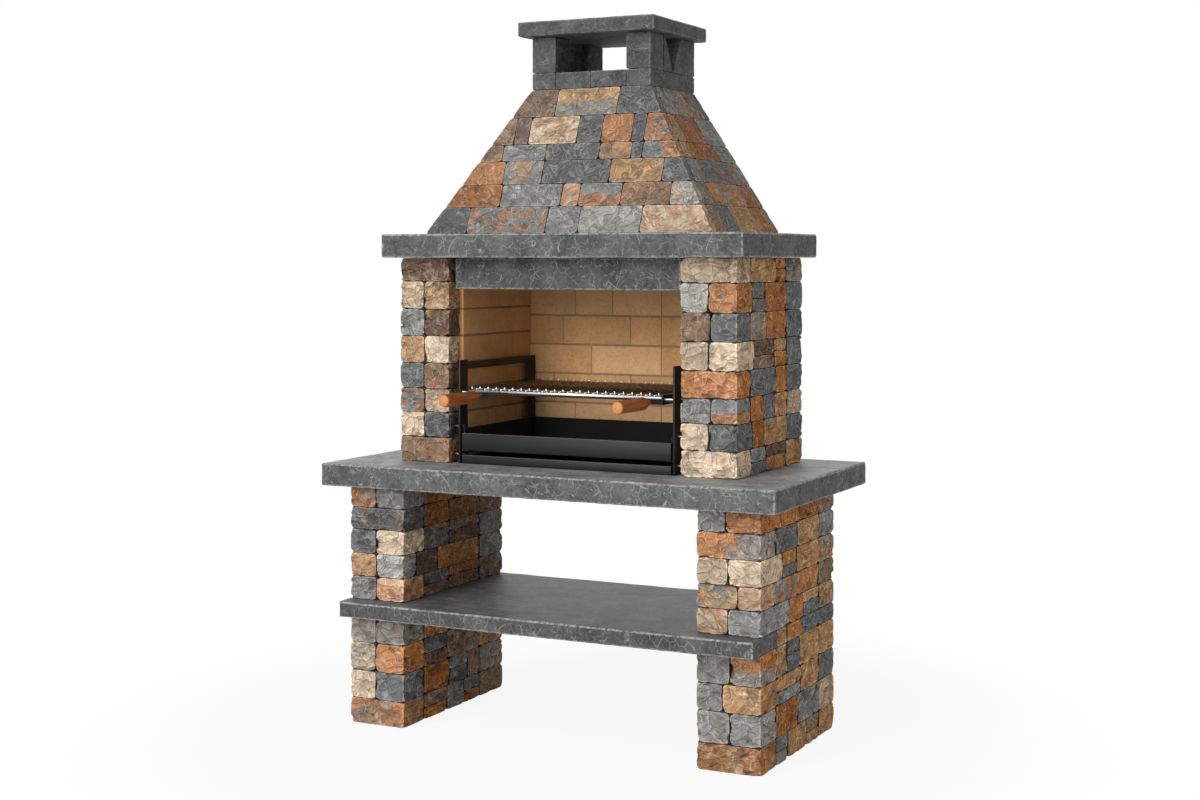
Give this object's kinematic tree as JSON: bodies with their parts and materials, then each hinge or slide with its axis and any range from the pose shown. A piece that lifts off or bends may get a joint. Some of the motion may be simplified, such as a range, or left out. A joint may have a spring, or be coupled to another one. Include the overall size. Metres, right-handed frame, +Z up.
{
  "type": "masonry barbecue",
  "caption": "Masonry barbecue: stone-clad legs with shelf and worktop, firebrick hearth, sliding grill, charcoal tray and ash drawer, tapered hood and open-sided chimney cap.",
  "frame": {"origin": "bottom centre of the bounding box, on the ground under the middle of the footprint", "axes": "+Z up, +X to the right of someone facing the hearth mouth, +Y from the cook's side towards the back wall"},
  "size_m": [1.44, 0.79, 2.094],
  "materials": {
    "leg_stone": "split-face, tumbled edges",
    "pillar_stone": "split-face, tumbled edges",
    "hood_stone": "split-face",
    "slate": "honed, pale veins",
    "chimney_slate": "sawn",
    "firebrick": "matt",
    "cast_shell": "cast, matt",
    "black_steel": "satin black",
    "tray_steel": "satin dark grey",
    "screw_steel": "plain",
    "plated_wire": "bright",
    "handle_wood": "oiled"
  },
  "bodies": {
    "masonry": {"left_leg_course_1": "leg_stone", "left_leg_course_2": "leg_stone", "left_leg_course_3": "leg_stone", "left_leg_course_4": "leg_stone", "left_leg_course_5": "leg_stone", "left_leg_course_6": "leg_stone", "left_leg_course_7": "leg_stone", "left_leg_course_8": "leg_stone", "left_leg_course_9": "leg_stone", "right_leg_course_1": "leg_stone", "right_leg_course_2": "leg_stone", "right_leg_course_3": "leg_stone", "right_leg_course_4": "leg_stone", "right_leg_course_5": "leg_stone", "right_leg_course_6": "leg_stone", "right_leg_course_7": "leg_stone", "right_leg_course_8": "leg_stone", "right_leg_course_9": "leg_stone", "shelf_slab": "slate", "worktop_slab": "slate", "left_pillar_course_1": "pillar_stone", "left_pillar_course_2": "pillar_stone", "left_pillar_course_3": "pillar_stone", "left_pillar_course_4": "pillar_stone", "left_pillar_course_5": "pillar_stone", "left_pillar_course_6": "pillar_stone", "left_pillar_course_7": "pillar_stone", "left_pillar_course_8": "pillar_stone", "right_pillar_course_1": "pillar_stone", "right_pillar_course_2": "pillar_stone", "right_pillar_course_3": "pillar_stone", "right_pillar_course_4": "pillar_stone", "right_pillar_course_5": "pillar_stone", "right_pillar_course_6": "pillar_stone", "right_pillar_course_7": "pillar_stone", "right_pillar_course_8": "pillar_stone", "left_lining": "firebrick", "right_lining": "firebrick", "back_wall": "firebrick", "lintel": "slate", "mantel_slab": "slate", "hood_shell": "cast_shell", "hood_course_1": "hood_stone", "hood_course_2": "hood_stone", "hood_course_3": "hood_stone", "hood_course_4": "hood_stone", "hood_course_5": "hood_stone", "hood_course_6": "hood_stone", "chimney_base": "chimney_slate", "chimney_posts": "chimney_slate", "chimney_side_panels": "chimney_slate", "cap_slab": "slate", "steel_frame": "black_steel", "frame_fixings": "screw_steel"},
    "grill": {"grill_grate": "plated_wire", "grill_carrier": "black_steel", "support_pins": "plated_wire", "grill_handles": "handle_wood"},
    "charcoal_pan": {"charcoal_tray": "tray_steel"},
    "ash_pan": {"ash_drawer": "tray_steel"}
  },
  "joints": [
    {"name": "grill_slide", "type": "slide", "parent": "masonry", "child": "grill", "axis": [0, -1, 0], "range_m": [0, 0.35]},
    {"name": "charcoal_tray_slide", "type": "slide", "parent": "masonry", "child": "charcoal_pan", "axis": [0, -1, 0], "range_m": [0, 0.38]},
    {"name": "ash_drawer_slide", "type": "slide", "parent": "masonry", "child": "ash_pan", "axis": [0, -1, 0], "range_m": [0, 0.38]}
  ]
}
